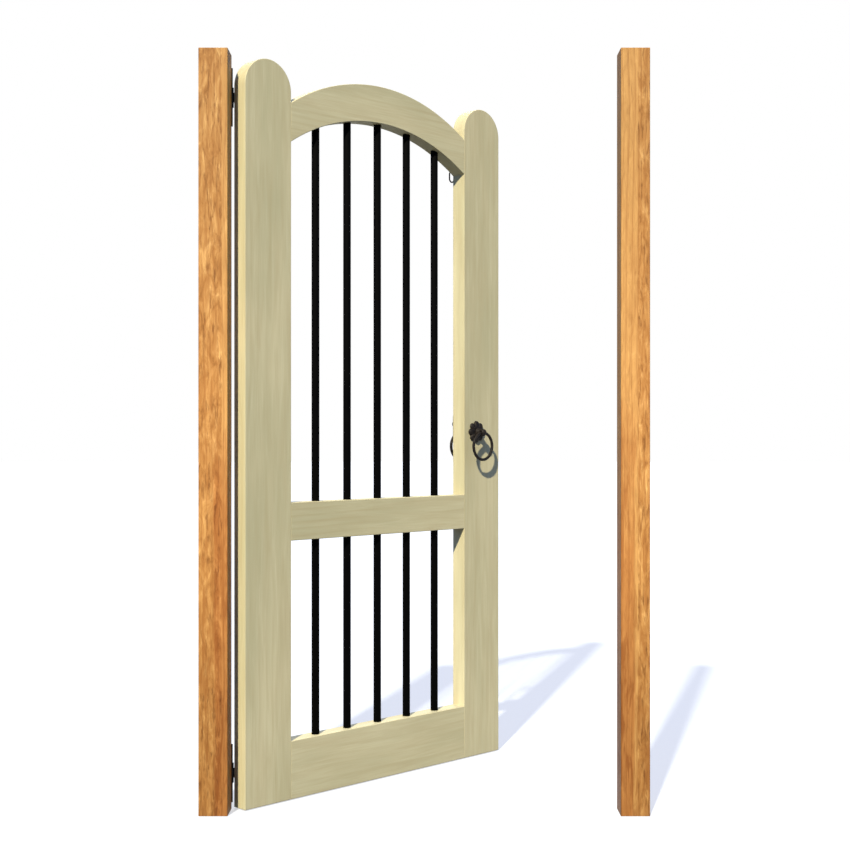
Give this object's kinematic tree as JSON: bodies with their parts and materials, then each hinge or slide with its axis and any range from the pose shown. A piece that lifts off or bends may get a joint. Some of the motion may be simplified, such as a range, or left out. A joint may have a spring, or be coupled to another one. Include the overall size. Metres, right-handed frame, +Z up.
{
  "type": "garden gate",
  "caption": "Tall wooden garden gate with an arched top rail, round-headed stiles, round black bars and a ring latch, hung between square posts and standing half open.",
  "frame": {"origin": "centre of the hinge post's foot, on the ground", "axes": "+X from the hinge post to the latch post, +Y to the side that the gate opens to, +Z up"},
  "size_m": [1.078, 0.7523, 1.834],
  "materials": {
    "post_timber": "oiled hardwood",
    "leaf_timber": "planed softwood",
    "bar_steel": "satin black",
    "latch_iron": "black, waxed",
    "hinge_iron": "matt black",
    "dark_steel": "blued steel",
    "screw_black": "black oxide"
  },
  "bodies": {
    "posts": {"hinge_post": "post_timber", "latch_post": "post_timber", "upper_hinge_post_plate": "hinge_iron", "lower_hinge_post_plate": "hinge_iron", "upper_hinge_pin": "hinge_iron", "lower_hinge_pin": "hinge_iron", "post_plate_screws": "screw_black", "latch_keeper": "latch_iron", "latch_keeper_screws": "screw_black", "bolt_keeper": "hinge_iron", "bolt_keeper_screws": "screw_black"},
    "gate_leaf": {"hinge_stile": "leaf_timber", "latch_stile": "leaf_timber", "arched_top_rail": "leaf_timber", "mid_rail": "leaf_timber", "bottom_rail": "leaf_timber", "infill_bar_1": "bar_steel", "infill_bar_2": "bar_steel", "infill_bar_3": "bar_steel", "infill_bar_4": "bar_steel", "infill_bar_5": "bar_steel", "upper_hinge_strap": "hinge_iron", "lower_hinge_strap": "hinge_iron", "hinge_strap_screws": "screw_black", "front_rose": "latch_iron", "rose_screws": "screw_black", "latch_back_plate": "latch_iron", "latch_back_plate_screws": "screw_black", "latch_pivot": "latch_iron", "latch_staple": "latch_iron", "latch_staple_screws": "screw_black", "bolt_back_plate": "hinge_iron", "bolt_plate_screws": "screw_black", "bolt_guides": "hinge_iron"},
    "ring_handle": {"spindle": "dark_steel", "front_boss": "latch_iron", "lift_cam": "latch_iron", "back_boss": "latch_iron", "back_boss_grub_screw": "screw_black"},
    "front_pull_ring": {"front_ring": "latch_iron"},
    "back_pull_ring": {"back_ring": "latch_iron"},
    "lift_bar": {"latch_bar": "latch_iron"},
    "top_bolt": {"bolt_rod": "dark_steel"},
    "bolt_loop": {"bolt_pull_loop": "dark_steel"}
  },
  "joints": [
    {"name": "gate_swing", "type": "hinge", "parent": "posts", "child": "gate_leaf", "pos_m": [0.034, 0.0408, 0.917], "axis": [0, 0, 1], "range_deg": [-45, 130]},
    {"name": "handle_turn", "type": "hinge", "parent": "gate_leaf", "child": "ring_handle", "pos_m": [0.63419, 0.60168, 0.917], "axis": [0.7071, -0.7071, 0], "range_deg": [0, 25]},
    {"name": "latch_lift", "type": "hinge", "parent": "gate_leaf", "child": "lift_bar", "pos_m": [0.59141, 0.59637, 0.939], "axis": [0.7071, -0.7071, 0], "range_deg": [0, 11]},
    {"name": "front_ring_swing", "type": "hinge", "parent": "ring_handle", "child": "front_pull_ring", "pos_m": [0.66884, 0.56703, 0.914], "axis": [0.7071, 0.7071, 0], "range_deg": [-180, 8]},
    {"name": "back_ring_swing", "type": "hinge", "parent": "ring_handle", "child": "back_pull_ring", "pos_m": [0.60697, 0.6289, 0.914], "axis": [0.7071, 0.7071, 0], "range_deg": [-8, 180]},
    {"name": "top_bolt_slide", "type": "slide", "parent": "gate_leaf", "child": "top_bolt", "axis": [0.7071, 0.7071, 0], "range_m": [0, 0.038]},
    {"name": "bolt_loop_swing", "type": "hinge", "parent": "top_bolt", "child": "bolt_loop", "pos_m": [0.58187, 0.61158, 1.6575], "axis": [0.7071, 0.7071, 0], "range_deg": [-20, 170]}
  ],
  "couplings": [
    {"joint": "latch_lift", "follows": "handle_turn", "ratio": 0.43}
  ]
}
